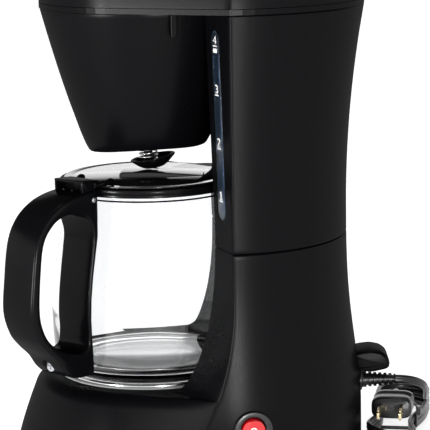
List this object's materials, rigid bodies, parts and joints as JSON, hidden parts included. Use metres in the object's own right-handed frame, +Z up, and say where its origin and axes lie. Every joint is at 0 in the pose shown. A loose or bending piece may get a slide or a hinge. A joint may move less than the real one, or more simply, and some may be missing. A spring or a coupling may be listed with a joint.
{
  "type": "drip coffee maker",
  "caption": "Compact drip coffee maker with a black housing, brew bowl over a glass carafe on a warming plate, side water gauge, rocker switch and tied power cord.",
  "frame": {"origin": "centre of the floor rectangle covered by the machine, at the underside of the feet", "axes": "+Z up, front of the machine towards -Y, switch and water gauge on the +X side"},
  "size_m": [0.179, 0.2517, 0.2798],
  "materials": {
    "black_plastic": "fine satin grain",
    "inner_plastic": "moulded",
    "feet_rubber": "matt",
    "screw_steel": "zinc plated",
    "plate_steel": "polished",
    "silicone": "soft satin",
    "cast_aluminium": "as cast",
    "sheet_steel": "bright",
    "ceramic": "glazed",
    "wire": "PVC",
    "rocker_red": "translucent gloss",
    "white_print": "printed",
    "window_plastic": "tinted clear",
    "tube_plastic": "milky",
    "mesh": "nylon mesh",
    "valve_plastic": "gloss",
    "glass": "clear",
    "gloss_black": "satin gloss",
    "cord_pvc": "ribbed PVC",
    "tie": "plastic tie",
    "prong_brass": "polished"
  },
  "bodies": {
    "housing": {"base_housing": "black_plastic", "bottom_cover": "black_plastic", "rubber_feet": "feet_rubber", "base_screws": "screw_steel", "warming_plate": "plate_steel", "plate_seal": "silicone", "heating_element": "cast_aluminium", "heater_bracket": "sheet_steel", "bracket_screws": "screw_steel", "thermostat": "sheet_steel", "thermal_fuse": "ceramic", "check_valve": "inner_plastic", "cold_hose": "silicone", "hot_hose": "silicone", "wiring": "wire", "switch_bezel": "black_plastic", "switch_body": "inner_plastic", "column_shell": "black_plastic", "tank_floor": "black_plastic", "floor_gasket": "silicone", "water_window": "window_plastic", "window_marks": "white_print", "riser_tube": "tube_plastic", "brew_bowl": "black_plastic", "filter_basket": "black_plastic", "mesh_filter": "mesh", "shower_spout": "black_plastic", "top_frame": "black_plastic", "frame_clips": "black_plastic", "frame_screws": "screw_steel", "valve_seal": "silicone", "valve_spring": "sheet_steel", "strain_relief": "cord_pvc", "power_cord": "cord_pvc", "cord_hank": "cord_pvc", "cord_tie": "tie", "plug_body": "cord_pvc", "plug_prongs": "prong_brass"},
    "lid": {"top_lid": "black_plastic", "lid_pins": "screw_steel"},
    "rocker": {"switch_rocker": "rocker_red", "switch_marks": "white_print"},
    "valve": {"drip_valve": "valve_plastic"},
    "carafe": {"carafe_glass": "glass", "carafe_collar": "gloss_black", "neck_ring": "gloss_black", "carafe_handle": "gloss_black", "handle_screw": "screw_steel", "carafe_lid": "gloss_black", "lid_lever": "gloss_black", "lever_pin": "screw_steel"}
  },
  "joints": [
    {"name": "lid_hinge", "type": "hinge", "parent": "housing", "child": "lid", "pos_m": [0, 0.0895, 0.2725], "axis": [-1, 0, 0], "range_deg": [0, 95]},
    {"name": "power_switch", "type": "hinge", "parent": "housing", "child": "rocker", "pos_m": [0.07985, 0.02752, 0.029], "axis": [0.1908, -0.9816, 0], "range_deg": [0, 18]},
    {"name": "drip_valve_lift", "type": "slide", "parent": "housing", "child": "valve", "axis": [0, 0, 1], "range_m": [0, 0.0025], "stiffness_N_per_m": 60, "deforming": ["valve_spring"]},
    {"name": "carafe_slide", "type": "slide", "parent": "housing", "child": "carafe", "axis": [0, -1, 0], "range_m": [0, 0.18]}
  ]
}
